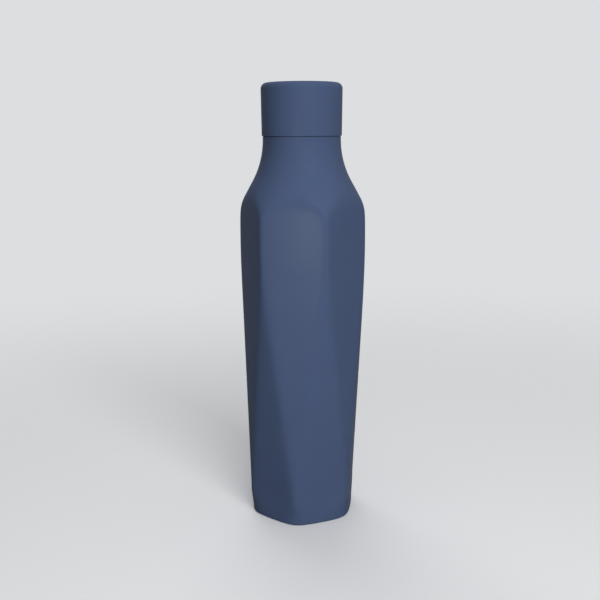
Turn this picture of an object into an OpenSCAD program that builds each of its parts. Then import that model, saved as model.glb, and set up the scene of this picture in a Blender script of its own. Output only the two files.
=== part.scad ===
// Insulated drinking bottle: a double-walled steel flask with a faceted, twisted body
// and a plain screw cap.
// Millimetres, +Z up. The origin is on the axis, in the plane that the bottle stands on.
// The lower ridges start at -Y and the upper ridges lie half a step round from them.

/* [Body] */
// Height of the seam between body and cap above the standing plane
seam_z = 229.6; // [205:0.2:250]
// Reach of the upper ridges from the axis
upper_reach = 37.7; // [35.5:0.1:39.5]
// Reach of the lower ridges from the axis, at the top of the base band
lower_reach = 34.2; // [32.5:0.1:35.5]
// Reach of the lower ridges from the axis, in the standing plane
foot_reach = 33.4; // [32:0.1:34.2]
// Height of the base band, above which each lower ridge splits in two
band_h = 17; // [12:0.5:22]
// Height at which each upper ridge splits in two
split_z = 147; // [130:1:170]
// Radius of the soft ridges above the base band
ridge_r = 5; // [3:0.5:6]
// Radius that the lower ridges open out to in the standing plane
foot_ridge_r = 11; // [8:0.5:14]
// Radius of the bottom edge
foot_edge_r = 1.2; // [0.8:0.1:2]
// Wall of the outer shell
shell_t = 0.6; // [0.5:0.1:1]

/* [Shoulder] */
// Step from the cap's lower edge in to the shell's collar
collar_step = 0.55; // [0.3:0.05:1]
// Distance by which the end of the round shoulder stands outside the upper ridges
shoulder_over = 0.3; // [0.2:0.1:3]
// Height of the straight collar under the seam
collar_h = 1.4; // [1.3:0.1:3]
// Length of the straight slope between the two curves of a shoulder
slope_length = 11; // [5:0.5:13]
// Radius of the hollow curve from the collar into the shoulder
hollow_r = 50; // [40:1:60]
// Radius of the full curve from the shoulder into the body
full_r = 28; // [24:1:36]
// Radius of the edge at the top of the collar
collar_edge_r = 0.6; // [0.4:0.1:1]

/* [Base] */
// Width of the rim that the bottle stands on
rim_w = 3.2; // [2.5:0.1:4]
// Depth of the base pan
pan_depth = 5; // [4:0.25:6]
// Wall of the base pan
pan_t = 0.6; // [0.5:0.1:1]
// Height of the base cover above the standing plane
cover_lift = 1; // [0.6:0.1:1.5]
// Thickness of the base cover
cover_t = 0.6; // [0.5:0.1:1]
// Radius of the dimple that holds the vacuum seal
dimple_r = 3.6; // [3:0.1:5]
// Depth of the dimple
dimple_depth = 1.6; // [1.2:0.1:2]
// Radius of the pump-out hole
pump_hole_r = 0.9; // [0.5:0.1:1.2]
// Thickness of the bead that seals the pump-out hole
seal_t = 1.1; // [0.8:0.1:1.4]
// Radius of the getter tablet
getter_r = 4; // [3:0.5:5]
// Thickness of the getter tablet
getter_t = 1.2; // [0.8:0.1:1.6]
// Distance of the getter tablet from the pan's edge
getter_in = 7; // [3:0.5:11]

/* [Flask] */
// Wall of the inner flask
flask_t = 0.6; // [0.5:0.1:1]
// Vacuum space between flask and shell at the side
vacuum_gap = 2.5; // [2:0.1:3.5]
// Vacuum space between flask and base pan
base_gap = 3.4; // [3:0.1:5]
// Radius of the knuckle round the flask's bottom
knuckle_r = 7; // [5:0.5:9]
// Length of straight wall between the knuckle and the bottom weld
weld_lift = 3; // [2:0.5:5]
// Height by which the flask's shoulder starts above the shell's shoulder
flask_rise = 8.6; // [7:0.2:10]
// Radius of the hollow curve in the flask's shoulder
flask_hollow_r = 40; // [30:1:44]
// Radius of the full curve in the flask's shoulder
flask_full_r = 25; // [20:1:28]
// Thickness of the reflecting foil round the flask
foil_t = 0.2; // [0.15:0.05:0.4]

/* [Cap] */
// Height of the cap
cap_h = 30; // [26:0.2:34]
// Radius of the cap at its lower edge
cap_r = 23.3; // [21:0.05:25]
// Flare of the cap from its lower edge up to its rounded top
cap_flare = 0.3; // [0:0.05:0.8]
// Radius of the cap's top edge
cap_edge_r = 3.5; // [2.5:0.25:6]
// Wall of the cap shell
cap_t = 0.6; // [0.5:0.1:1]
// Gap of the seam between cap and body
seam_gap = 0.4; // [0.3:0.05:0.8]
// Gap between the liner's lower edge and the body
liner_gap = 0.2; // [0.1:0.05:0.6]
// Wall of the liner's skirt
skirt_t = 2.4; // [1.8:0.1:3]
// Thickness of the liner's ceiling
ceiling_t = 1.8; // [1.2:0.1:2.4]
// Thickness of the foam above the ceiling
foam_t = 5.2; // [4.6:0.1:8]
// Room for the thread between neck and liner
thread_room = 1.9; // [1.6:0.1:2.2]
// Gap between the lip that holds the gasket and the neck's bore
boss_gap = 2.5; // [1:0.1:4]
// Depth of the boss below the ceiling
boss_h = 4.6; // [4:0.1:6]
// Wall of the boss
boss_t = 1.4; // [1:0.1:2]
// Overhang of the lip that holds the gasket on the boss
lip_w = 0.8; // [0.5:0.1:1.2]
// Thickness of that lip
lip_t = 1.2; // [0.8:0.1:1.6]
// Thickness of the gasket
gasket_t = 2; // [1.5:0.1:2.5]
// Overhang of the gasket past the outside of the neck
gasket_over = 1.2; // [0.6:0.1:1.5]

/* [Fits] */
// Gap at a welded or glued seam
weld_fit = 0.05; // [0.02:0.01:0.1]
// Gap round a piece pressed or glued into another
press_fit = 0.12; // [0.05:0.01:0.2]
// Gap between round faces that turn past each other
turn_fit = 0.3; // [0.2:0.05:0.4]
// Gap between flat faces that press together
face_fit = 0.1; // [0.02:0.02:0.1]

/* [Hidden] */
$fn = 96;

// Six ridges round. Half a ridge's corner is turned in half_steps steps.
sides = 6;
half_angle = 180 / sides;
half_steps = 4;
ring_size = 2 * half_steps + 1;
arc_steps = 10;
edge_steps = 3;
least_soft = 0.6;

blue = [0.30, 0.36, 0.49];
steel = [0.74, 0.75, 0.77];
copper = [0.78, 0.52, 0.38];
plastic = [0.30, 0.31, 0.33];
foam = [0.95, 0.94, 0.90];
rubber = [0.93, 0.94, 0.95];
bead_colour = [0.35, 0.33, 0.30];
tablet_colour = [0.42, 0.42, 0.44];

// Distance of a ring's flats from the axis, from the reach and the radius of its ridges.
function flat_of(reach, soft_r) = (reach - soft_r) * cos(half_angle) + soft_r;

upper_flat = flat_of(upper_reach, ridge_r);
lower_flat = flat_of(lower_reach, ridge_r);
foot_flat = flat_of(foot_reach, foot_ridge_r);

// Distance of the base band's flats, and radius of its ridges, at height z.
function band_flat(z) = foot_flat + (lower_flat - foot_flat) * z / band_h;
function band_ridge_r(z) = foot_ridge_r + (ridge_r - foot_ridge_r) * z / band_h;

// Radii that follow from the cap outside in: cap, collar, liner, neck, boss.
cap_top_r = cap_r + cap_flare;
collar_r = cap_r - collar_step;
liner_r = cap_r - cap_t - press_fit;
liner_bore_r = liner_r - skirt_t;
neck_r = liner_bore_r - thread_room;
bore_r = neck_r - flask_t;
boss_r = bore_r - boss_gap - lip_w;
boss_bore_r = boss_r - boss_t;

// Levels that follow from the cap's top down: foam, liner, gasket, rim of the neck.
cap_z = seam_z + seam_gap;
cap_top = cap_z + cap_h;
foam_top = cap_top - cap_t - face_fit;
liner_top = foam_top - foam_t - face_fit;
ceiling_z = liner_top - ceiling_t;
gasket_z = ceiling_z - face_fit - gasket_t;
rim_z = gasket_z - face_fit;
boss_z = ceiling_z - boss_h;

// Radius and height at which the round shoulder ends.
shoulder_r = upper_reach + shoulder_over;
shoulder_z = seam_z - collar_h - shoulder_rise(collar_r, shoulder_r, hollow_r, full_r);

// Base levels.
pan_flat = foot_flat - rim_w - weld_fit;
pan_top = pan_depth + pan_t;
cover_flat = pan_flat - pan_t - press_fit;
dimple_top = pan_top + dimple_depth;

// Share of the twisted band's height at which a lower and an upper facet are equally far from
// the axis, and that distance, up to which a straight wall can go.
equal_share = (lower_reach - lower_flat) / (lower_reach - lower_flat + upper_reach - upper_flat);
equal_z = band_h + (split_z - band_h) * equal_share;
equal_flat = min(lower_flat + (upper_reach - lower_flat) * equal_share, upper_flat);

// The flask keeps the vacuum space from the facets at every height.
side_gap = shell_t + vacuum_gap;
flask_r = upper_flat - side_gap;
flask_mid_r = equal_flat - side_gap;
flask_low_r = lower_flat - side_gap;
flask_floor = pan_top + base_gap;
weld_z = flask_floor + knuckle_r + weld_lift;
flask_shoulder_z = shoulder_z + flask_rise;

// Points along an arc, from angle a to angle b.
function arc(centre_x, centre_y, r, a, b, steps) =
    [for (k = [0:steps])
        let (t = a + (b - a) * k / steps)
        [centre_x + r * cos(t), centre_y + r * sin(t)]];

// Rounded hexagon at height z, moved inwards by inset. Its flats lie at distance flat, its
// ridges have the radius soft_r, and its first corner is turned by turn from -Y. Each corner has
// ring_size points.
function ring(flat, soft_r, inset, turn, z) =
    let (soft = max(soft_r - inset, least_soft))
    let (corner = (flat - inset - soft) / cos(half_angle))
    [for (i = [0:sides - 1])
        for (k = [-half_steps:half_steps])
            let (a = turn + 2 * half_angle * i)
            let (b = a + half_angle * k / half_steps)
            [corner * sin(a) + soft * sin(b), -corner * cos(a) - soft * cos(b), z]];

// The foot's hexagon as a flat outline, moved inwards by inset.
function foot_outline(inset) =
    [for (p = ring(foot_flat, foot_ridge_r, inset, 0, 0)) [p[0], p[1]]];

// Index of point k of corner i, in a stack of rings.
function at(level, i, k) = (level * sides + (i + sides) % sides) * ring_size + k;

// Faces between two rings with the same turn.
function straight_band(level) =
    let (n = sides * ring_size)
    [for (j = [0:n - 1])
        [level * n + j, level * n + n + j, level * n + n + (j + 1) % n, level * n + (j + 1) % n]];

// Faces between two rings half a step apart: on each side of a lower corner a soft ridge to the
// upper corner there, one flat triangle under each upper corner and one above each lower corner.
function twisted_band(level) =
    concat([for (i = [0:sides - 1])
               for (k = [0:half_steps - 1])
                   [at(level, i, half_steps + k), at(level + 1, i, k),
                    at(level + 1, i, k + 1), at(level, i, half_steps + k + 1)]],
           [for (i = [0:sides - 1])
               for (k = [0:half_steps - 1])
                   [at(level, i + 1, k), at(level + 1, i, half_steps + k),
                    at(level + 1, i, half_steps + k + 1), at(level, i + 1, k + 1)]],
           [for (i = [0:sides - 1])
               [at(level, i, 2 * half_steps), at(level + 1, i, half_steps), at(level, i + 1, 0)]],
           [for (i = [0:sides - 1])
               [at(level, i, half_steps), at(level + 1, i - 1, 2 * half_steps),
                at(level + 1, i, 0)]]);

// Slope of a shoulder from the vertical, at which a full arc, the straight slope and a hollow
// arc together reach from the wide body in to the neck.
function slope_of(neck, wide, hollow, full) =
    acos((hollow + full - wide + neck) / norm([hollow + full, slope_length]))
    - atan2(slope_length, hollow + full);

// Height from the end of a shoulder's full curve to the start of its neck.
function shoulder_rise(neck, wide, hollow, full) =
    let (slope = slope_of(neck, wide, hollow, full))
    (hollow + full) * sin(slope) + slope_length * cos(slope);

// Outline of a shoulder from the wide body at height z up to the neck.
function shoulder(neck, wide, z, hollow, full) =
    let (slope = slope_of(neck, wide, hollow, full))
    concat(arc(wide - full, z, full, 0, slope, arc_steps),
           arc(neck + hollow, z + shoulder_rise(neck, wide, hollow, full), hollow,
               180 + slope, 180, arc_steps));

// The shell's and the flask's shoulders, moved inwards by inset.
function shell_shoulder(inset) =
    shoulder(collar_r - inset, shoulder_r - inset, shoulder_z, hollow_r + inset, full_r - inset);
function flask_shoulder(inset) =
    shoulder(neck_r - inset, flask_r - inset, flask_shoulder_z, flask_hollow_r + inset,
             flask_full_r - inset);

// The flask's side from the bottom weld up to the shoulder, moved outwards by outset.
function flask_side(outset) =
    [[flask_low_r + outset, weld_z], [flask_mid_r + outset, equal_z], [flask_r + outset, split_z]];

function reversed(points) = [for (i = [len(points) - 1:-1:0]) points[i]];

// Twisted body with flat triangular facets: a tapered base band, a band that turns from the
// lower ridges to the upper ones, and an upright band that the shoulder trims.
// The bottom edge is rounded where edge is above zero.
module facets(inset, floor_z, edge) {
    steps = edge > 0 ? edge_steps : 0;
    feet = [for (k = [0:steps])
        let (t = steps > 0 ? 90 * k / steps : 90)
        let (z = floor_z + edge * (1 - cos(t)))
        ring(band_flat(z), band_ridge_r(z), inset + edge * (1 - sin(t)), 0, z)];
    walls = [ring(lower_flat, ridge_r, inset, 0, band_h),
             ring(upper_flat, ridge_r, inset, half_angle, split_z),
             ring(upper_flat, ridge_r, inset, half_angle, seam_z)];
    rings = concat(feet, walls);
    top = len(rings) - 1;
    n = sides * ring_size;
    polyhedron(points = [for (r = rings) each r],
               faces = concat([[for (j = [0:n - 1]) j]],
                              [for (level = [0:top - 3]) each straight_band(level)],
                              twisted_band(top - 2),
                              straight_band(top - 1),
                              [[for (j = [n - 1:-1:0]) top * n + j]]));
}

// Round body with the shoulder and collar, which trims the facets to arched tops.
module round_body(inset, top_z, top_edge) {
    collar = collar_r - inset;
    rotate_extrude()
        polygon(concat([[0, -1], [shoulder_r - inset, -1]],
                       shell_shoulder(inset),
                       arc(collar - top_edge, top_z - top_edge, top_edge, 0, 90, edge_steps),
                       [[0, top_z]]));
}

// Faceted outer shell: open at the base for the pan and at the collar for the neck.
module outer_shell() {
    color(blue) difference() {
        intersection() {
            facets(0, 0, foot_edge_r);
            round_body(0, seam_z, collar_edge_r);
        }
        intersection() {
            facets(shell_t, shell_t, 0);
            round_body(shell_t, seam_z - shell_t, shell_t / 4);
        }
        translate([0, 0, -1])
            linear_extrude(shell_t + 2)
            polygon(foot_outline(rim_w));
        translate([0, 0, seam_z - shell_t - 1])
            cylinder(r = neck_r + weld_fit, h = shell_t + 2);
    }
}

// Base pan welded into the shell's rim, with the dimple and hole for pumping out the air.
module outer_base() {
    pan_inset = foot_flat - pan_flat;
    color(steel) difference() {
        union() {
            linear_extrude(pan_top) polygon(foot_outline(pan_inset));
            cylinder(r = dimple_r + pan_t, h = dimple_top);
        }
        translate([0, 0, -1])
            linear_extrude(pan_depth + 1)
            polygon(foot_outline(pan_inset + pan_t));
        cylinder(r = dimple_r, h = dimple_top - pan_t);
        cylinder(r = pump_hole_r, h = dimple_top + 1);
    }
}

// Cover glued into the pan, over the vacuum seal.
module base_cover() {
    cover_inset = foot_flat - cover_flat;
    color(blue) translate([0, 0, cover_lift]) difference() {
        linear_extrude(pan_depth - cover_lift)
            polygon(foot_outline(cover_inset));
        translate([0, 0, cover_t])
            linear_extrude(pan_depth)
            polygon(foot_outline(cover_inset + cover_t));
    }
}

// Bead that closes the pump-out hole from below.
module vacuum_seal() {
    color(bead_colour)
        translate([0, 0, dimple_top - pan_t - seal_t])
        cylinder(r = dimple_r - turn_fit, h = seal_t);
}

// Tablet that keeps the vacuum, welded on the pan inside the vacuum space.
module getter() {
    color(tablet_colour)
        translate([pan_flat - getter_in - getter_r, 0, pan_top])
        cylinder(r = getter_r, h = getter_t);
}

// Round inner flask, open at the bottom for its welded cup, with the neck that takes the cap.
module inner_flask() {
    color(steel) rotate_extrude()
        polygon(concat(flask_side(0),
                       flask_shoulder(0),
                       [[neck_r, rim_z], [bore_r, rim_z]],
                       reversed(flask_shoulder(flask_t)),
                       reversed(flask_side(-flask_t))));
}

// Bottom cup of the flask, butt-welded to the flask's wall.
module inner_bottom() {
    color(steel) rotate_extrude()
        polygon(concat([[0, flask_floor]],
                       arc(flask_low_r - knuckle_r, flask_floor + knuckle_r, knuckle_r,
                           -90, 0, arc_steps),
                       [[flask_low_r, weld_z], [flask_low_r - flask_t, weld_z]],
                       arc(flask_low_r - knuckle_r, flask_floor + knuckle_r, knuckle_r - flask_t,
                           0, -90, arc_steps),
                       [[0, flask_floor + flask_t]]));
}

// Foil wrapped round the flask's side, from its widest place up to the shoulder.
module radiation_foil() {
    inner = [for (p = flask_side(press_fit)) if (p[1] >= equal_z) p];
    inner_top = [flask_r + press_fit, flask_shoulder_z - press_fit];
    side = concat(inner, [inner_top]);
    color(copper) rotate_extrude()
        polygon(concat(side, reversed([for (p = side) [p[0] + foil_t, p[1]]])));
}

// Drawn steel shell of the cap.
module cap_shell() {
    edge_z = cap_top - cap_edge_r;
    color(blue) rotate_extrude()
        polygon(concat([[cap_r, cap_z]],
                       arc(cap_top_r - cap_edge_r, edge_z, cap_edge_r, 0, 90, arc_steps),
                       [[0, cap_top], [0, cap_top - cap_t]],
                       arc(cap_top_r - cap_edge_r, edge_z, cap_edge_r - cap_t, 90, 0, arc_steps),
                       [[cap_r - cap_t, cap_z]]));
}

// Moulded liner: threaded skirt, ceiling and the hollow boss that carries the gasket.
module cap_liner() {
    liner_z = seam_z + liner_gap;
    color(plastic) rotate_extrude()
        polygon([[liner_r, liner_z], [liner_r, liner_top],
                 [boss_bore_r, liner_top], [boss_bore_r, boss_z + boss_t],
                 [0, boss_z + boss_t], [0, boss_z],
                 [boss_r + lip_w, boss_z], [boss_r + lip_w, boss_z + lip_t],
                 [boss_r, boss_z + lip_t], [boss_r, ceiling_z],
                 [liner_bore_r, ceiling_z], [liner_bore_r, liner_z]]);
}

// Foam that fills the cap above the liner's ceiling and inside its boss.
module cap_insulation() {
    foam_r = cap_top_r - cap_t - turn_fit;
    foam_edge_r = cap_edge_r - cap_t;
    plug_r = boss_bore_r - turn_fit;
    color(foam) rotate_extrude()
        polygon(concat([[0, boss_z + boss_t + face_fit], [plug_r, boss_z + boss_t + face_fit],
                        [plug_r, liner_top + face_fit], [foam_r - turn_fit, liner_top + face_fit]],
                       arc(foam_r - turn_fit - foam_edge_r, foam_top - foam_edge_r, foam_edge_r,
                           0, 90, arc_steps),
                       [[0, foam_top]]));
}

// Soft ring that seals the cap on the neck's rim.
module cap_gasket() {
    gasket_in = boss_r + turn_fit;
    gasket_out = neck_r + gasket_over;
    edge = gasket_t / 4;
    color(rubber) rotate_extrude()
        polygon([[gasket_in, gasket_z], [gasket_out - edge, gasket_z], [gasket_out, gasket_z + edge],
                 [gasket_out, gasket_z + gasket_t - edge], [gasket_out - edge, gasket_z + gasket_t],
                 [gasket_in, gasket_z + gasket_t]]);
}

outer_shell();
outer_base();
base_cover();
vacuum_seal();
getter();
inner_flask();
inner_bottom();
radiation_foil();
cap_shell();
cap_liner();
cap_insulation();
cap_gasket();
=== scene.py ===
import math
import bpy
import numpy as np
from mathutils import Euler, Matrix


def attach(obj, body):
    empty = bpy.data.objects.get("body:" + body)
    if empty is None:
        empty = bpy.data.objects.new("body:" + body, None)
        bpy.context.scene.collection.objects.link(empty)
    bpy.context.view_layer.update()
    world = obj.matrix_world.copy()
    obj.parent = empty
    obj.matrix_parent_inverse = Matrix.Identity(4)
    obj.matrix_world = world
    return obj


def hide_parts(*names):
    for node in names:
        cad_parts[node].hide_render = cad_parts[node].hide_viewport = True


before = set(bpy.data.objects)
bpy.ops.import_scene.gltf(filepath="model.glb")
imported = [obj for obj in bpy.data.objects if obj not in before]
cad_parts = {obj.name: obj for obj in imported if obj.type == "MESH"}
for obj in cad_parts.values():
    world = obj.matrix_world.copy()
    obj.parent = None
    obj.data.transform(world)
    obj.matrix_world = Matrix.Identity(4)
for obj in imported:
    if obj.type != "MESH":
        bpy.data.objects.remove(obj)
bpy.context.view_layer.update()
scene = bpy.context.scene
scene.view_settings.view_transform = "Standard"

# Lengths in the pieces' dictionaries are millimetres, as on a workshop drawing, and angles are
# degrees. Blender gets metres and radians.
mm = 0.001

# Camera: distance from the bottle's axis, height, side step, turn round the bottle, tilt down
# and roll. What it clips is in metres.
view = {"distance": 488.8, "height": 235.95, "sideStep": -1.435, "turn": 8.476, "tilt": 11.969,
        "roll": 0.241, "lens": 49.41, "sensor": 36.0, "clipStart": 0.01, "clipEnd": 50.0}

turn = math.radians(view["turn"])
outward = np.array([math.sin(turn), -math.cos(turn), 0.0])
sideways = np.array([math.cos(turn), math.sin(turn), 0.0])
cameraPlace = (outward * view["distance"] + sideways * view["sideStep"]
               + np.array([0.0, 0.0, view["height"]])) * mm
cameraData = bpy.data.cameras.new("camera")
cameraData.lens = view["lens"]
cameraData.sensor_width = view["sensor"]
cameraData.sensor_fit = "HORIZONTAL"
cameraData.clip_start = view["clipStart"]
cameraData.clip_end = view["clipEnd"]
cameraObject = bpy.data.objects.new("camera", cameraData)
cameraObject.location = cameraPlace
aim = Euler((math.radians(90.0 - view["tilt"]), 0.0, turn)).to_matrix()
roll = Euler((0.0, 0.0, -math.radians(view["roll"]))).to_matrix()
cameraObject.rotation_euler = (aim @ roll).to_euler()
scene.collection.objects.link(cameraObject)
scene.camera = cameraObject
print("camera placed")


# Shape tools

# A rounded corner has this many steps and takes at most reachShare of its shorter side. The
# points that hold the flats lie this far off, or at most holdShare of that side.
rounding = {"steps": 5, "reachShare": 0.45, "hold": 0.15, "holdShare": 0.04}
sharpAngle = 40.0  # edges that turn by more stay crisp


# Eased step from 0 to 1 as x goes from low to high: 3s^2 - 2s^3.
def easeBetween(x, low, high):
    s = np.clip((x - low) / (high - low), 0.0, 1.0)
    return s * s * (3.0 - 2.0 * s)


# Smooth least of several values: minus k times the log of the summed exponentials of -value/k.
def softLeast(values, k):
    least = np.min(values, axis=0)
    total = np.sum(np.exp(-(values - least) / k), axis=0)
    return least - k * np.log(total)


# Profile with rounded corners, from rows of (radius, height, rounding). Each corner is a
# quadratic curve between points that lie its rounding before and behind it, with one more
# point just outside each end to hold the flats.
def roundedProfile(corners, closed):
    points = np.array([c[:2] for c in corners], float)
    radii = [c[2] if len(c) > 2 else 0.0 for c in corners]
    s = np.linspace(0.0, 1.0, rounding["steps"] + 1)[:, None]
    rows = []
    count = len(points)
    for i in range(count):
        here = points[i]
        if radii[i] == 0.0 or (not closed and i in (0, count - 1)):
            rows.append(here[None, :])
            continue
        back = points[i - 1] - here
        ahead = points[(i + 1) % count] - here
        backLength = np.linalg.norm(back)
        aheadLength = np.linalg.norm(ahead)
        shorter = min(backLength, aheadLength)
        reach = min(radii[i], rounding["reachShare"] * shorter)
        back, ahead = back / backLength, ahead / aheadLength
        a, b = here + back * reach, here + ahead * reach
        curve = (1.0 - s) ** 2 * a + 2.0 * s * (1.0 - s) * here + s ** 2 * b
        keep = min(rounding["hold"], rounding["holdShare"] * shorter)
        rows.append(np.vstack([(a + back * keep)[None, :], curve, (b + ahead * keep)[None, :]]))
    return np.vstack(rows)


# Same profile with every stretch longer than the step cut into equal parts.
def finerProfile(profile, step, closed):
    ends = np.vstack([profile[1:], profile[:1]]) if closed else profile[1:]
    pieces = []
    for a, b in zip(profile, ends):
        parts = max(1, int(math.ceil(np.linalg.norm(b - a) / step)))
        pieces.append(a + (b - a) * (np.arange(parts) / parts)[:, None])
    if not closed:
        pieces.append(profile[-1:])
    return np.vstack(pieces)


# Angles of the columns round the axis: equal steps that add up to a full turn.
def columnAngles(columns):
    return np.arange(columns) * 2.0 * math.pi / columns


# Angles of an arc from zero to the given degrees, both ends included.
def arcAngles(degrees, count):
    return np.radians(np.linspace(0.0, degrees, count))


# Grid of points from radius and height arrays of rows by columns: x = r sin, y = -r cos.
def ringGrid(radius, height, columns):
    angle = columnAngles(columns)
    radius, height = np.broadcast_arrays(radius, height)
    if radius.shape[1] == 1:
        radius = np.repeat(radius, columns, axis=1)
        height = np.repeat(height, columns, axis=1)
    return np.stack([radius * np.sin(angle), -radius * np.cos(angle), height], axis=2)


# Surface of revolution of a profile of (radius, height) rows.
def turnedGrid(profile, columns):
    return ringGrid(profile[:, :1], profile[:, 1:2], columns)


# Piece from a grid: columns close round the axis. Rows close too, or start and end in a pole
# on the axis. The faces are turned over if the enclosed volume, the sum of each corner dotted
# with the cross of the other two, comes out below zero.
def pieceFromGrid(name, grid, poles):
    rows, columns = grid.shape[:2]
    nextColumn = (np.arange(columns) + 1) % columns
    if poles:
        points = np.vstack([grid[:1, 0], grid[1:-1].reshape(-1, 3), grid[-1:, 0]])
        index = 1 + np.arange((rows - 2) * columns).reshape(rows - 2, columns)
        upper, lower = index[1:], index[:-1]
        first, last = index[0], index[-1]
        fans = np.vstack([
            np.stack([np.zeros(columns, int), first, first[nextColumn]], axis=1),
            np.stack([np.full(columns, len(points) - 1), last[nextColumn], last], axis=1)])
    else:
        points = grid.reshape(-1, 3)
        index = np.arange(rows * columns).reshape(rows, columns)
        lower, upper = index, np.roll(index, -1, axis=0)
        fans = np.zeros((0, 3), int)
    quads = np.stack([lower, upper, upper[:, nextColumn], lower[:, nextColumn]],
                     axis=2).reshape(-1, 4)
    halves = np.vstack([quads[:, [0, 1, 2]], quads[:, [0, 2, 3]], fans])
    a, b, c = (points[halves[:, i]] for i in range(3))
    if np.sum(np.einsum("ij,ij->i", a, np.cross(b, c))) < 0.0:
        quads, fans = quads[:, ::-1], fans[:, ::-1]
    mesh = bpy.data.meshes.new(name)
    mesh.vertices.add(len(points))
    mesh.vertices.foreach_set("co", (points * mm).astype(np.float32).ravel())
    mesh.loops.add(quads.size + fans.size)
    mesh.loops.foreach_set("vertex_index",
                           np.concatenate([quads.ravel(), fans.ravel()]).astype(np.int32))
    mesh.polygons.add(len(quads) + len(fans))
    starts = np.concatenate([np.arange(len(quads)) * 4, quads.size + np.arange(len(fans)) * 3])
    mesh.polygons.foreach_set("loop_start", starts.astype(np.int32))
    mesh.polygons.foreach_set("use_smooth", np.ones(len(quads) + len(fans), bool))
    mesh.update(calc_edges=True)
    mesh.validate()
    mesh.set_sharp_from_angle(angle=math.radians(sharpAngle))
    piece = bpy.data.objects.new(name, mesh)
    scene.collection.objects.link(piece)
    return piece


# Material tools

# New material with a Principled shader: the material, its node tree and the shader.
def newMaterial(name):
    material = bpy.data.materials.new(name)
    material.use_nodes = True
    return material, material.node_tree, material.node_tree.nodes["Principled BSDF"]


# New node with its settings and the plain values of its inputs.
def addNode(tree, kind, settings=None, inputs=None):
    node = tree.nodes.new(kind)
    for key, value in (settings or {}).items():
        setattr(node, key, value)
    for key, value in (inputs or {}).items():
        node.inputs[key].default_value = value
    return node


# Noise of a given grain in millimetres, with its octaves of detail and their roughness.
def grainNoise(tree, source, grain, detail, roughness):
    noise = addNode(tree, "ShaderNodeTexNoise", None,
                    {"Scale": 1.0 / (grain * mm), "Detail": detail, "Roughness": roughness})
    tree.links.new(source, noise.inputs["Vector"])
    return noise.outputs["Fac"]


# Value carried linearly from the 0..1 range of a pattern to low..high.
def toRange(tree, source, low, high):
    node = addNode(tree, "ShaderNodeMapRange", None, {"To Min": low, "To Max": high})
    tree.links.new(source, node.inputs["Value"])
    return node.outputs["Result"]


# Colour carried from the dark tone to the light one by a share from 0 to 1. A colour mix has
# its two colours at inputs 6 and 7, and its result at output 2.
def mixedTone(tree, share, dark, light):
    mix = addNode(tree, "ShaderNodeMix", {"data_type": "RGBA"})
    mix.inputs[6].default_value = (*dark, 1.0)
    mix.inputs[7].default_value = (*light, 1.0)
    tree.links.new(share, mix.inputs[0])
    return mix.outputs[2]


# Base colour that wanders between the look's two tones with a pattern.
def tones(tree, shader, pattern, look):
    tree.links.new(mixedTone(tree, pattern, look["dark"], look["light"]),
                   shader.inputs["Base Color"])


# Bump from one height pattern, its depth given in millimetres.
def bumpFrom(tree, shader, height, depth):
    bump = addNode(tree, "ShaderNodeBump", None, {"Strength": 1.0, "Distance": depth * mm})
    tree.links.new(height, bump.inputs["Height"])
    tree.links.new(bump.outputs["Normal"], shader.inputs["Normal"])


# Finish from one pattern: the roughness and the bump follow it.
def roughAndBump(tree, shader, pattern, look):
    tree.links.new(toRange(tree, pattern, *look["rough"]), shader.inputs["Roughness"])
    bumpFrom(tree, shader, pattern, look["depth"])


# Metres from the object's own origin, so a pattern keeps its place on the piece.
def objectCoordinates(tree):
    return addNode(tree, "ShaderNodeTexCoord").outputs["Object"]


# Rings round the axis: noise read at (distance from the axis, height), so it runs round.
def turnedLines(tree, line):
    split = addNode(tree, "ShaderNodeSeparateXYZ")
    tree.links.new(objectCoordinates(tree), split.inputs[0])
    flat = addNode(tree, "ShaderNodeCombineXYZ")
    tree.links.new(split.outputs["X"], flat.inputs["X"])
    tree.links.new(split.outputs["Y"], flat.inputs["Y"])
    length = addNode(tree, "ShaderNodeVectorMath", {"operation": "LENGTH"})
    tree.links.new(flat.outputs[0], length.inputs[0])
    joined = addNode(tree, "ShaderNodeCombineXYZ")
    tree.links.new(length.outputs["Value"], joined.inputs["X"])
    tree.links.new(split.outputs["Z"], joined.inputs["Y"])
    return grainNoise(tree, joined.outputs[0], *line)


# Powder coat: dry slate blue with a very fine orange peel. In this and the next looks a noise
# is (grain, octaves of detail, their roughness), and rough is the shader's range.
coatLook = {"dark": (0.066, 0.097, 0.186), "light": (0.073, 0.107, 0.203),
            "cloud": (26.0, 4.0, 0.5), "peel": (0.55, 2.0, 0.6), "depth": 0.010,
            "rough": (0.58, 0.66), "glaze": 0.15, "glazeRough": 0.25}


# Two tones in broad clouds, fine peel in roughness and bump. The paint itself has no mirror
# part: all of its gloss is a thin glaze over it.
def powderCoat():
    material, tree, shader = newMaterial("slatePowderCoat")
    coordinates = objectCoordinates(tree)
    tones(tree, shader, grainNoise(tree, coordinates, *coatLook["cloud"]), coatLook)
    peel = grainNoise(tree, coordinates, *coatLook["peel"])
    roughAndBump(tree, shader, peel, coatLook)
    shader.inputs["Specular IOR Level"].default_value = 0.0
    shader.inputs["Coat Weight"].default_value = coatLook["glaze"]
    shader.inputs["Coat Roughness"].default_value = coatLook["glazeRough"]
    return material


# Stainless steel with turned lines, as a spun and formed flask has.
steelLook = {"dark": (0.46, 0.465, 0.47), "light": (0.62, 0.625, 0.63),
             "line": (0.16, 3.0, 0.6), "depth": 0.004, "rough": (0.24, 0.40)}


# Metal whose tone, roughness and bump follow rings round the axis.
def turnedSteel():
    material, tree, shader = newMaterial("turnedSteel")
    lines = turnedLines(tree, steelLook["line"])
    tones(tree, shader, lines, steelLook)
    roughAndBump(tree, shader, lines, steelLook)
    shader.inputs["Metallic"].default_value = 1.0
    return material


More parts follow.
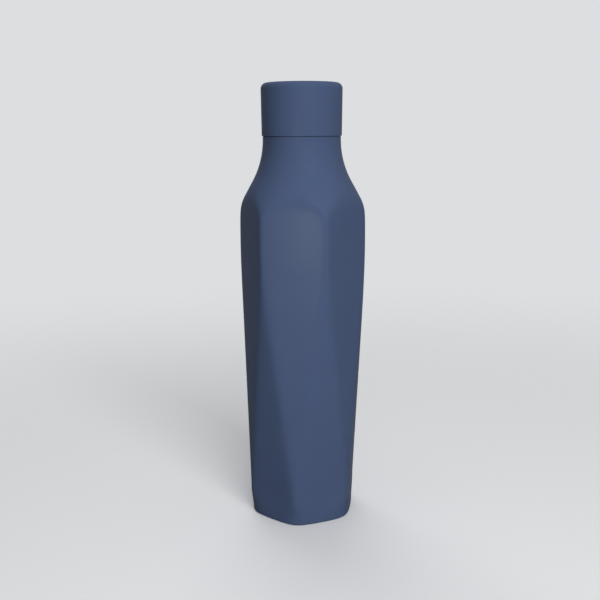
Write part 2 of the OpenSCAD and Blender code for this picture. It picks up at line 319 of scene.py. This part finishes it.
# Copper foil: soft creases over a bright metal.
foilLook = {"dark": (0.60, 0.30, 0.18), "light": (0.78, 0.44, 0.30),
            "crease": (5.0, 5.0, 0.62), "depth": 0.20, "rough": (0.18, 0.34)}


# Metal whose tone, roughness and bump follow one broad noise.
def creasedFoil():
    material, tree, shader = newMaterial("copperFoil")
    crease = grainNoise(tree, objectCoordinates(tree), *foilLook["crease"])
    tones(tree, shader, crease, foilLook)
    roughAndBump(tree, shader, crease, foilLook)
    shader.inputs["Metallic"].default_value = 1.0
    return material


# Moulded, sintered or melted finishes that differ only in their values.
plainLooks = {
    # The liner's dark grey is its moulded colour, and also painted shade: its edge sits in the
    # seam's gap under the cap, where its dark tone draws the seam's shadow line.
    "liner_plastic": {"name": "mouldedLiner", "dark": (0.078, 0.081, 0.088),
                      "light": (0.094, 0.098, 0.107), "grain": (0.35, 3.0, 0.5), "depth": 0.006,
                      "rough": (0.34, 0.46), "gloss": 0.5, "metal": 0.0},
    "silicone": {"name": "softSilicone", "dark": (0.70, 0.725, 0.74),
                 "light": (0.78, 0.80, 0.81), "grain": (0.25, 3.0, 0.5), "depth": 0.004,
                 "rough": (0.42, 0.56), "gloss": 0.4, "metal": 0.0},
    "getter_alloy": {"name": "sinteredTablet", "dark": (0.10, 0.10, 0.11),
                     "light": (0.19, 0.19, 0.20), "grain": (0.20, 3.0, 0.5), "depth": 0.030,
                     "rough": (0.60, 0.80), "gloss": 0.5, "metal": 0.6},
    "solder_glass": {"name": "sealingGlass", "dark": (0.07, 0.06, 0.055),
                     "light": (0.13, 0.12, 0.10), "grain": (0.60, 3.0, 0.5), "depth": 0.020,
                     "rough": (0.10, 0.22), "gloss": 0.5, "metal": 0.0}}


# Tone, roughness and bump follow one noise of the look's grain.
def plainFinish(slot):
    look = plainLooks[slot]
    material, tree, shader = newMaterial(look["name"])
    grain = grainNoise(tree, objectCoordinates(tree), *look["grain"])
    tones(tree, shader, grain, look)
    roughAndBump(tree, shader, grain, look)
    shader.inputs["Specular IOR Level"].default_value = look["gloss"]
    shader.inputs["Metallic"].default_value = look["metal"]
    return material


# Foam: rounded cells of one size.
foamLook = {"dark": (0.76, 0.74, 0.69), "light": (0.88, 0.86, 0.81), "cell": 1.6, "depth": 0.25,
            "rough": 0.9}


# Tone and bump fall with the distance from the nearest cell centre of a Voronoi pattern.
def cellFoam():
    material, tree, shader = newMaterial("cellFoam")
    cells = addNode(tree, "ShaderNodeTexVoronoi", {"feature": "SMOOTH_F1"},
                    {"Scale": 1.0 / (foamLook["cell"] * mm)})
    tree.links.new(objectCoordinates(tree), cells.inputs["Vector"])
    height = toRange(tree, cells.outputs["Distance"], 1.0, 0.0)
    tones(tree, shader, height, foamLook)
    shader.inputs["Roughness"].default_value = foamLook["rough"]
    bumpFrom(tree, shader, height, foamLook["depth"])
    return material


finishes = {"coated_steel": powderCoat(), "bare_steel": turnedSteel(),
            "copper_foil": creasedFoil(), "foam": cellFoam()}
for slotName in plainLooks:
    finishes[slotName] = plainFinish(slotName)
print("finishes made:", len(finishes))


# Gives a new piece its finish, its body and the CAD node that it stands for.
def fitPiece(piece, slot, body, node):
    piece.data.materials.append(finishes[slot])
    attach(piece, body)
    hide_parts(node)


# Body shell: hexagon of wide flats above, turned half a step against the hexagon at the foot.
# A rise or fall is the span of heights over which something comes in or goes out.
body = {"seam": 229.82, "wall": 0.6, "columns": 360, "neckOpening": 18.33,
        "upperFlat": 33.0, "upperReach": 37.7, "lowerFlat": 30.288, "lowerReach": 34.69,
        "footFlat": 30.399, "bandTop": 17.0, "split": 147.0,
        "crown": 0.55, "crownRise": (112.0, 168.0), "crownFall": (180.0, 208.0),
        "crownLost": 0.5, "crownHalf": 19.2,
        "ridgeSoft": 0.58, "lowRidgeSoft": 0.80, "lowRidgeRise": (6.0, 34.0),
        "lowRidgeFall": (120.0, 165.0), "footSoft": 2.5, "shoulderSoft": 0.60, "archSoft": 1.4,
        "footEdge": 1.2, "collarEdge": 0.25, "rimWidth": 3.2, "footRidge": 11.0,
        "rows": ((2.2, 34.0, 1.1), (34.0, 150.0, 1.9), (150.0, 228.6, 1.05)),
        "lastRows": (228.8, 229.1), "innerFirst": 1.4, "innerStep": 6.0, "innerLast": 3.0}

# Shoulder: full arc, straight slope and hollow arc, from the wide body in to the collar.
shoulder = {"collar": 22.75, "wide": 38.0, "collarHeight": 1.52, "slopeLength": 11.0,
            "hollow": 50.0, "full": 28.0, "steps": 40, "flare": 0.06, "flareFrom": 2.0,
            "flareSpan": 60.0}


# Slope at which a full arc, the straight and a hollow arc reach from the wide radius in to
# the narrow one: the arc cosine of the width they leave over their reach, less the angle
# whose tangent is straight over arcs. The second value is the height that they rise.
def slopeAndRise(wide, narrow, full, hollow):
    arcs = hollow + full
    straight = shoulder["slopeLength"]
    across = arcs - wide + narrow
    slope = math.acos(across / math.hypot(arcs, straight)) - math.atan2(straight, arcs)
    return slope, arcs * math.sin(slope) + straight * math.cos(slope)


# Rows of (radius, height) along the two arcs, the full one curving in from the wide radius
# and the hollow one out to the narrow radius. The straight is the step between them.
def arcRows(wide, narrow, full, hollow, slope, start, rise, steps):
    t = np.linspace(0.0, slope, steps)
    back = t[::-1]
    low = np.stack([wide - full + full * np.cos(t), start + full * np.sin(t)], axis=1)
    high = np.stack([narrow + hollow - hollow * np.cos(back),
                     start + rise - hollow * np.sin(back)], axis=1)
    return np.vstack([low, high])


# Slope of the shoulder, its rise and the height where it starts under the collar.
def shoulderLevels():
    slope, rise = slopeAndRise(shoulder["wide"], shoulder["collar"], shoulder["full"],
                               shoulder["hollow"])
    return slope, rise, body["seam"] - shoulder["collarHeight"] - rise


# Radius of the shoulder's revolve at height z, read off its outline. Under it the radius
# grows with the depth, so that the shoulder leaves the ridges alone there.
def shoulderRadius(z):
    slope, rise, start = shoulderLevels()
    rows = arcRows(shoulder["wide"], shoulder["collar"], shoulder["full"], shoulder["hollow"],
                   slope, start, rise, shoulder["steps"])
    depth = np.clip(start + shoulder["flareFrom"] - z, 0.0, shoulder["flareSpan"])
    return np.interp(z, rows[:, 1], rows[:, 0]) + shoulder["flare"] * depth


# Radius of the body at angle a from the front and height z: the soft least of the distances
# to the six lower facets, the six upper facets and the shoulder. A facet's distance is that
# of its middle over the cosine of the angle from it. An upper facet faces the front, and a
# lower ridge lies under its middle. The upper facets bulge a little, as a parabola across,
# and run softly into the shoulder between the ridges.
def bodyRadius(a, z):
    share = (z - body["bandTop"]) / (body["split"] - body["bandTop"])
    lowerFlat = body["lowerFlat"] + (body["upperReach"] - body["lowerFlat"]) * share
    inBand = body["footFlat"] + (body["lowerFlat"] - body["footFlat"]) * z / body["bandTop"]
    lowerFlat = np.where(share < 0.0, inBand, lowerFlat)
    upperFlat = body["lowerReach"] + (body["upperFlat"] - body["lowerReach"]) * share
    upperFlat = np.where(share > 1.0, body["upperFlat"], upperFlat)
    bulge = body["crown"] * easeBetween(z, *body["crownRise"]) * (
        1.0 - body["crownLost"] * easeBetween(z, *body["crownFall"]))
    leastCosine, widest = 0.15, 1.2  # these keep a facet finite at its sides and back
    distances = []
    for i in range(6):
        for flat, start, crowned in ((lowerFlat, 30.0, False), (upperFlat, 0.0, True)):
            off = (a - math.radians(start + 60.0 * i) + math.pi) % (2.0 * math.pi) - math.pi
            reach = flat / np.maximum(np.cos(off), leastCosine)
            if crowned:
                across = np.tan(np.clip(off, -widest, widest)) * flat / body["crownHalf"]
                reach = reach + bulge * (1.0 - np.clip(across, -1.0, 1.0) ** 2)
            distances.append(reach)
    low = easeBetween(z, *body["lowRidgeRise"]) * (1.0 - easeBetween(z, *body["lowRidgeFall"]))
    foot = 1.0 - easeBetween(z, 0.0, body["bandTop"])
    ridge = (body["ridgeSoft"] + (body["lowRidgeSoft"] - body["ridgeSoft"]) * low
             + (body["footSoft"] - body["ridgeSoft"]) * foot)
    facets = softLeast(np.array(distances), ridge)
    sixth = math.pi / 6.0
    toRidge = ((a + sixth) % (2.0 * sixth) - sixth) / sixth
    blend = body["shoulderSoft"] + (body["archSoft"] - body["shoulderSoft"]) * (
        1.0 - toRidge ** 2) ** 2
    revolve = np.broadcast_to(shoulderRadius(z), facets.shape)
    return softLeast(np.array([facets, revolve]), blend)


# Radius at angle a of a hexagon with its flats at a given distance and its corners rounded to
# a given radius: the corner's circle near a corner, the flat's straight line elsewhere.
def hexagonRadius(a, flat, corner):
    half = math.radians(30.0)
    off = np.abs((a + half) % (2.0 * half) - half)
    centre = (flat - corner) / math.cos(half)
    last = math.atan2(corner * math.sin(half), centre + corner * math.cos(half))
    near = np.minimum(off, last)
    circle = centre * np.cos(near) + np.sqrt(corner ** 2 - (centre * np.sin(near)) ** 2)
    return np.where(off < last, circle, flat / np.cos(half - off))


# Rows of the body's radius from the foot up, over the collar, in to the neck, down the inner
# wall at one wall's distance, and in round the rim. Ledge, under and the rim's last two rows
# are shares of the way across.
def makeBodyShell():
    a = columnAngles(body["columns"])[None, :]
    edge, top, wall, collar = body["footEdge"], body["seam"], body["wall"], body["collarEdge"]
    quarter = arcAngles(90.0, 7)
    # Outside: foot edge, wall up to the collar, collar edge.
    side = np.concatenate([np.arange(*span) for span in body["rows"]] + [body["lastRows"]])
    z = np.concatenate([edge * (1.0 - np.cos(quarter)), side,
                        top - collar * (1.0 - np.sin(quarter))])[:, None]
    inset = np.concatenate([edge * (1.0 - np.sin(quarter)), np.zeros(len(side)),
                            collar * (1.0 - np.cos(quarter))])[:, None]
    outside = bodyRadius(a, z) - inset
    # Ledge in to the neck, inner wall down to the rim, and the rim's inner edge.
    ledge = np.array([0.25, 0.6, 1.0])[:, None]
    ledgeR = outside[-1:] + (body["neckOpening"] - outside[-1:]) * ledge
    under = np.array([1.0, 0.5, 0.0])[:, None]
    innerTop = bodyRadius(a, np.array([[top - wall]])) - wall
    underR = innerTop + (body["neckOpening"] - innerTop) * under
    innerZ = np.concatenate([[top - body["innerFirst"]],
                             np.arange(top - body["innerStep"], body["innerLast"],
                                       -body["innerStep"]), [wall]])[:, None]
    innerR = bodyRadius(a, innerZ) - wall
    rim = hexagonRadius(a, body["footFlat"] - body["rimWidth"],
                        body["footRidge"] - body["rimWidth"])
    foot = outside[:1] - rim
    rimR = np.vstack([rim, rim, rim + 0.2 * foot, rim + 0.9 * foot])
    rimZ = np.array([wall, 0.0, 0.0, 0.0])[:, None]
    radius = np.vstack([outside, ledgeR, underR, innerR, rimR])
    height = np.vstack([z, np.full((3, 1), top), np.full((3, 1), top - wall), innerZ, rimZ])
    shell = pieceFromGrid("bodyShell", ringGrid(radius, height, body["columns"]), poles=False)
    fitPiece(shell, "coated_steel", "bottle", "outer_shell")


makeBodyShell()
print("body shell made")


# Cap shell: drawn cup with a rounded top edge and a hem turned in at the seam.
cap = {"low": 230.0, "top": 260.0, "lowRadius": 23.3, "topRadius": 23.6, "edge": 3.5,
       "wall": 0.6, "hem": 0.26, "hold": 0.3, "flatRow": 8.0, "columns": 200}


# Turned profile: under the top, round the inner edge, down, round the hem, up, round the
# outer edge, and in over the top. Both edges are quarter circles about one centre.
def makeCapShell():
    low, top, wall, edge = cap["low"], cap["top"], cap["wall"], cap["edge"]
    quarter = arcAngles(90.0, 15)
    centre, inner = cap["topRadius"] - edge, edge - wall
    outerArc, innerArc = (np.stack([centre + r * np.cos(quarter),
                                    top - edge + r * np.sin(quarter)], axis=1)
                          for r in (edge, inner))
    foot = roundedProfile([(centre + inner, top - edge),
                           (cap["lowRadius"] - wall, low, cap["hem"]),
                           (cap["lowRadius"], low, cap["hem"]), (centre + edge, top - edge)],
                          closed=False)[1:-1]
    flat = np.array([0.0, cap["flatRow"], centre - cap["hold"]])
    under = np.stack([flat, np.full(3, top - wall)], axis=1)
    over = np.stack([flat[::-1], np.full(3, top)], axis=1)
    profile = np.vstack([under, innerArc[::-1], foot, outerArc, over])
    piece = pieceFromGrid("capShell", turnedGrid(profile, cap["columns"]), poles=True)
    fitPiece(piece, "coated_steel", "cap", "cap_shell")


makeCapShell()
print("cap shell made")


# Screw thread: three right-hand starts, formed in the neck and moulded in the liner.
thread = {"lead": 12.0, "pitch": 4.0, "crest": 0.35, "foot": 0.98, "rowStep": 0.3,
          "neckHeight": 1.25, "neckLow": 234.2, "neckHigh": 245.6, "runOut": 1.5,
          "linerHeight": 1.20, "linerLow": 232.4, "linerHigh": 246.6}


# Height of the thread at angle a and height z: a bump over the distance to the nearest
# helix line z = lead * a / turn, faded out at both ends.
def threadHeight(a, z, height, shift, low, high):
    helix = thread["lead"] * a / (2.0 * math.pi)
    off = (z - helix - shift + thread["pitch"] / 2.0) % thread["pitch"] - thread["pitch"] / 2.0
    bump = 1.0 - easeBetween(np.abs(off), thread["crest"], thread["foot"])
    ends = easeBetween(z, low, low + thread["runOut"]) * (
        1.0 - easeBetween(z, high - thread["runOut"], high))
    return height * bump * ends


# Flask: round, its side following the shell's facets, with a threaded neck and a round rim.
flask = {"lowRadius": 27.188, "midRadius": 30.219, "wideRadius": 30.219, "neck": 18.28,
         "wall": 0.6, "weld": 19.0, "midHeight": 78.325, "wideHeight": 147.0,
         "rise": 8.6, "hollow": 40.0, "full": 25.0, "rim": 250.0, "neckStart": 232.0,
         "stemStep": 12.0, "arcSteps": 16, "columns": 240}


# Rows of the flask's side from the weld to the neck, moved in by the inset: the stem's
# straight stretches, then the two arcs, the full one smaller and the hollow one larger by it.
def flaskSide(inset):
    slope, rise = slopeAndRise(flask["wideRadius"], flask["neck"], flask["full"],
                               flask["hollow"])
    start = shoulderLevels()[2] + flask["rise"]
    stem = np.array([[flask["lowRadius"] - inset, flask["weld"]],
                     [flask["midRadius"] - inset, flask["midHeight"]],
                     [flask["wideRadius"] - inset, flask["wideHeight"]]])
    arcs = arcRows(flask["wideRadius"] - inset, flask["neck"] - inset, flask["full"] - inset,
                   flask["hollow"] + inset, slope, start, rise, flask["arcSteps"])
    return np.vstack([finerProfile(stem, flask["stemStep"], closed=False), arcs])


# Turned profile up the outside, round the rim as a half circle and down the inside, with the
# thread pushed out in both faces of the neck.
def makeFlask():
    wall, neck = flask["wall"], flask["neck"]
    neckZ = np.arange(flask["neckStart"], flask["rim"] - wall, thread["rowStep"])
    outerNeck = np.stack([np.full(len(neckZ), neck), neckZ], axis=1)
    innerNeck = outerNeck[::-1] - np.array([wall, 0.0])
    half = arcAngles(180.0, 11)
    rim = np.stack([neck - wall / 2.0 + wall / 2.0 * np.cos(half),
                    flask["rim"] - wall / 2.0 + wall / 2.0 * np.sin(half)], axis=1)
    profile = np.vstack([flaskSide(0.0), outerNeck, rim, innerNeck, flaskSide(wall)[::-1]])
    bump = threadHeight(columnAngles(flask["columns"])[None, :], profile[:, 1:2],
                        thread["neckHeight"], 0.0, thread["neckLow"], thread["neckHigh"])
    grid = ringGrid(profile[:, :1] + bump, profile[:, 1:2], flask["columns"])
    piece = pieceFromGrid("flask", grid, poles=False)
    fitPiece(piece, "bare_steel", "bottle", "inner_flask")


makeFlask()
print("flask made")


# Liner: skirt with the inner thread, ceiling, and the boss that holds the gasket. The rows of
# the threaded bore run from boreFirst and boreSecond over the foot up to boreLast, and boreEnd
# starts the plain stretch above them.
liner = {"radius": 22.64, "bore": 20.18, "low": 229.9, "top": 254.0, "ceiling": 252.2,
         "bossLow": 247.6, "bossRadius": 14.38, "bossBore": 12.98, "lip": 0.8,
         "lipThick": 1.2, "floorThick": 1.4, "gateRadius": 2.2, "gateDepth": 0.35,
         "gateSlope": 0.6, "mouthEdge": 0.5, "mouthHeight": 2.0, "boreFirst": 0.55,
         "boreSecond": 0.9, "boreLast": 248.0, "boreEnd": 248.3, "rowStep": 4.0,
         "columns": 200}


# Turned profile: over the top and down the outside, in round the mouth, up the threaded bore,
# and down the boss to the middle of its floor. The thread is pushed in from the bore alone.
def makeLiner():
    low, top, bore, radius = liner["low"], liner["top"], liner["bore"], liner["radius"]
    floor, mouth = liner["bossLow"] + liner["floorThick"], liner["mouthEdge"]
    outside = roundedProfile([(0.0, floor), (liner["bossBore"], floor, 0.5),
                              (liner["bossBore"], top, 0.3), (radius, top, 0.5),
                              (radius, low, 0.4), (bore, low, mouth)], closed=False)[:-1]
    entry = roundedProfile([(radius, low), (bore, low, mouth),
                            (bore, low + liner["mouthHeight"])], closed=False)[1:-1]
    boreZ = np.concatenate([[low + liner["boreFirst"]],
                            np.arange(low + liner["boreSecond"], liner["boreLast"],
                                      thread["rowStep"])])
    boreRows = np.stack([np.full(len(boreZ), bore), boreZ], axis=1)
    boss, bossLow, ceiling = liner["bossRadius"], liner["bossLow"], liner["ceiling"]
    lip, lipTop = boss + liner["lip"], bossLow + liner["lipThick"]
    gate, gateZ = liner["gateRadius"], bossLow + liner["gateDepth"]
    inside = roundedProfile([(bore, liner["boreEnd"]), (bore, ceiling, 0.6),
                             (boss, ceiling, 0.2), (boss, lipTop, 0.15), (lip, lipTop, 0.3),
                             (lip, bossLow, 0.5), (gate + liner["gateSlope"], bossLow, 0.3),
                             (gate, gateZ, 0.3), (0.0, gateZ)], closed=False)
    step = liner["rowStep"]
    profile = np.vstack([finerProfile(outside, step, closed=False), entry, boreRows,
                         finerProfile(inside, step, closed=False)])
    bump = threadHeight(columnAngles(liner["columns"])[None, :], profile[:, 1:2],
                        thread["linerHeight"], thread["pitch"] / 2.0,
                        thread["linerLow"], thread["linerHigh"])
    inBore = np.abs(profile[:, :1] - bore) < 1e-6
    grid = ringGrid(profile[:, :1] - bump * inBore, profile[:, 1:2], liner["columns"])
    piece = pieceFromGrid("capLiner", grid, poles=True)
    fitPiece(piece, "liner_plastic", "cap", "cap_liner")


makeLiner()
print("liner made")


# Gasket: flat silicone ring with rounded edges and a raised sealing bead on its underside.
gasket = {"inner": 14.68, "outer": 19.48, "low": 250.1, "thick": 2.0, "bead": (17.1, 18.9),
          "beadSlope": 0.5, "beadDepth": 0.3, "bevel": 0.5, "columns": 160}


# Turned profile: flat underside, the bead lower by its depth, bevel, side and flat top.
def makeGasket():
    low, high = gasket["low"], gasket["low"] + gasket["thick"]
    inner, outer, flat = gasket["inner"], gasket["outer"], low + gasket["beadDepth"]
    beadIn, beadOut = gasket["bead"]
    profile = roundedProfile([(inner, flat, 0.3), (beadIn - gasket["beadSlope"], flat, 0.3),
                              (beadIn, low, 0.3), (beadOut, low, 0.3),
                              (outer, low + gasket["bevel"], 0.3), (outer, high, 0.5),
                              (inner, high, 0.4)], closed=True)
    piece = pieceFromGrid("capGasket", turnedGrid(profile, gasket["columns"]), poles=False)
    fitPiece(piece, "silicone", "cap_core", "cap_gasket")


makeGasket()
print("gasket made")


# Base cover: shallow coated tray with a pressed ring, glued over the pump-out seal.
cover = {"flat": 26.429, "low": 1.0, "high": 5.0, "thick": 0.6, "corner": 7.03, "edge": 0.9,
         "innerBend": 0.5, "ringIn": 16.3, "ringOut": 17.5, "ringDepth": 0.35,
         "ringSlope": 0.3, "plainRadius": 20.5, "columns": 240}


# Rows of radius and height from the middle of the underside out, up the hexagonal side, and
# back in over the upper side, which repeats the underside one sheet's thickness higher.
def makeCover():
    thick, low, edge, columns = cover["thick"], cover["low"], cover["edge"], cover["columns"]
    ringIn, ringOut = cover["ringIn"], cover["ringOut"]
    dip, slope = cover["ringDepth"], cover["ringSlope"]
    outer = hexagonRadius(columnAngles(columns), cover["flat"], cover["corner"])
    plain = roundedProfile([(0.0, 0.0), (ringIn, 0.0, 0.6), (ringIn + slope, dip, 0.3),
                            (ringOut - slope, dip, 0.3), (ringOut, 0.0, 0.6),
                            (cover["plainRadius"], 0.0)], closed=False)
    quarter = arcAngles(90.0, 7)
    bendR = -edge * (1.0 - np.sin(quarter))[:, None]
    bendZ = edge * (1.0 - np.cos(quarter))
    plainR = np.repeat(plain[:, :1], columns, axis=1)
    radius = np.vstack([plainR, outer + bendR, [outer, outer - thick],
                        outer - thick + bendR[::-1] * cover["innerBend"], plainR[::-1]])
    height = np.concatenate([low + plain[:, 1], low + bendZ, [cover["high"], cover["high"]],
                             low + thick + bendZ[::-1] * cover["innerBend"],
                             low + thick + plain[::-1, 1]])[:, None]
    piece = pieceFromGrid("baseCover", ringGrid(radius, height, columns), poles=True)
    fitPiece(piece, "coated_steel", "bottle", "base_cover")


makeCover()
print("base cover made")

# CAD nodes that keep their own shape get the finish of their slot.
keptNodes = {"outer_base": "bare_steel", "vacuum_seal": "solder_glass",
             "getter": "getter_alloy", "inner_bottom": "bare_steel",
             "radiation_foil": "copper_foil", "cap_insulation": "foam"}
for nodeName, slotName in keptNodes.items():
    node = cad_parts[nodeName]
    if not node.data.materials:
        node.data.materials.append(finishes[slotName])
    for materialSlot in node.material_slots:
        materialSlot.material = finishes[slotName]
print("kept nodes finished:", len(keptNodes))


# Studio, in metres: pale round floor that fades into the backdrop, and a weak sky. The floor
# lies a hair under the foot, and sends little of its own light back up to the bottle.
studio = {"rings": (0.1, 0.3, 1.0, 4.0), "columns": 96, "floorLevel": -0.00002,
          "floorTone": (0.90, 0.91, 0.93), "bounceTone": (0.09, 0.10, 0.11),
          "backdrop": (0.72, 0.73, 0.75), "glowShare": 0.10, "fadeStart": 0.10,
          "fadeEnd": 0.80, "sky": 0.05, "aimHeight": 0.13}

# Lamps round the bottle, in metres, degrees and watts. The three broad ones light the paint
# and are not mirrored in it, so that they leave no squares there. The small front one gives
# the soft glow on the front facet.
lamps = {"keyLamp": {"turn": 27.5, "lift": 26.0, "distance": 1.3, "size": 0.8, "power": 14.2,
                     "spread": 180.0, "mirrored": False},
         "topLamp": {"turn": 0.0, "lift": 89.9, "distance": 1.2, "size": 1.0, "power": 3.0,
                     "spread": 180.0, "mirrored": False},
         "backLamp": {"turn": 200.0, "lift": 30.0, "distance": 1.6, "size": 1.5, "power": 13.0,
                      "spread": 180.0, "mirrored": False},
         "frontLamp": {"turn": -3.9, "lift": -1.5, "distance": 0.63, "size": 0.15,
                       "power": 0.062, "spread": 60.0, "mirrored": True}}


# One where the ray comes from the camera, a mirror or glass, and zero for bounced light.
def seenRay(tree):
    path = addNode(tree, "ShaderNodeLightPath")
    total = path.outputs["Is Camera Ray"]
    for kind in ("Is Glossy Ray", "Is Transmission Ray"):
        either = addNode(tree, "ShaderNodeMath", {"operation": "ADD", "use_clamp": True})
        tree.links.new(total, either.inputs[0])
        tree.links.new(path.outputs[kind], either.inputs[1])
        total = either.outputs[0]
    return total


# One shader carried to another by a share, and on to the output's surface.
def mixedSurface(tree, share, first, second, output):
    mix = addNode(tree, "ShaderNodeMixShader")
    tree.links.new(share, mix.inputs[0])
    tree.links.new(first.outputs[0], mix.inputs[1])
    tree.links.new(second.outputs[0], mix.inputs[2])
    tree.links.new(mix.outputs[0], tree.nodes[output].inputs["Surface"])


# Floor paint: plain and matt, paler where a ray sees it than for bounced light. The glow's
# share grows smoothly with the distance from the middle, and only where a ray sees it.
def floorPaint():
    material, tree, shader = newMaterial("studioFloor")
    tree.nodes.remove(shader)
    seen = seenRay(tree)
    paint = addNode(tree, "ShaderNodeBsdfDiffuse")
    tree.links.new(mixedTone(tree, seen, studio["bounceTone"], studio["floorTone"]),
                   paint.inputs["Color"])
    glow = addNode(tree, "ShaderNodeEmission", None,
                   {"Color": (*studio["backdrop"], 1.0), "Strength": 1.0})
    distance = addNode(tree, "ShaderNodeVectorMath", {"operation": "LENGTH"})
    tree.links.new(objectCoordinates(tree), distance.inputs[0])
    far = addNode(tree, "ShaderNodeMapRange", {"interpolation_type": "SMOOTHSTEP"},
                  {"From Min": studio["fadeStart"], "From Max": studio["fadeEnd"],
                   "To Min": studio["glowShare"]})
    tree.links.new(distance.outputs["Value"], far.inputs["Value"])
    both = addNode(tree, "ShaderNodeMath", {"operation": "MULTIPLY"})
    tree.links.new(far.outputs["Result"], both.inputs[0])
    tree.links.new(seen, both.inputs[1])
    mixedSurface(tree, both.outputs[0], paint, glow, "Material Output")
    return material


# Flat disc: a fan round the middle, then quads between one ring and the next.
def makeFloor():
    columns = studio["columns"]
    a = columnAngles(columns)
    ring = np.stack([np.sin(a), -np.cos(a), np.zeros(columns)], axis=1)
    points = np.vstack([np.zeros((1, 3))] + [ring * r for r in studio["rings"]])
    points[:, 2] = studio["floorLevel"]
    faces = [(0, 1 + i, 1 + (i + 1) % columns) for i in range(columns)]
    for k in range(len(studio["rings"]) - 1):
        low, high = 1 + k * columns, 1 + (k + 1) * columns
        faces += [(low + i, high + i, high + (i + 1) % columns, low + (i + 1) % columns)
                  for i in range(columns)]
    mesh = bpy.data.meshes.new("floor")
    mesh.from_pydata(points.tolist(), [], faces)
    mesh.update()
    floor = bpy.data.objects.new("floor", mesh)
    scene.collection.objects.link(floor)
    floor.data.materials.append(floorPaint())


# Sky: an even weak light for the object, and the pale backdrop where a ray sees it.
def makeSky():
    world = bpy.data.worlds.new("studioSky")
    scene.world = world
    world.use_nodes = True
    tree = world.node_tree
    plain = tree.nodes["Background"]
    plain.inputs["Color"].default_value = (1.0, 1.0, 1.0, 1.0)
    plain.inputs["Strength"].default_value = studio["sky"]
    pale = addNode(tree, "ShaderNodeBackground", None,
                   {"Color": (*studio["backdrop"], 1.0), "Strength": 1.0})
    mixedSurface(tree, seenRay(tree), plain, pale, "World Output")


# Lamp at a turn and lift round a point half way up the bottle, facing it: sideways by the
# sine and outwards by the cosine of the turn, both times the cosine of the lift, and up by
# the lift's sine.
def makeLamp(name, place):
    turnBy, lift = math.radians(place["turn"]), math.radians(place["lift"])
    lamp = bpy.data.lights.new(name, "AREA")
    lamp.shape = "SQUARE"
    lamp.size = place["size"]
    lamp.energy = place["power"]
    lamp.spread = math.radians(place["spread"])
    lampObject = bpy.data.objects.new(name, lamp)
    level = place["distance"] * math.cos(lift)
    lampObject.location = (level * math.sin(turnBy), -level * math.cos(turnBy),
                           studio["aimHeight"] + place["distance"] * math.sin(lift))
    lampObject.rotation_euler = (math.radians(90.0) - lift, 0.0, turnBy)
    lampObject.visible_glossy = place["mirrored"]
    scene.collection.objects.link(lampObject)


makeFloor()
makeSky()
for lampName, lampPlace in lamps.items():
    makeLamp(lampName, lampPlace)
print("studio made")
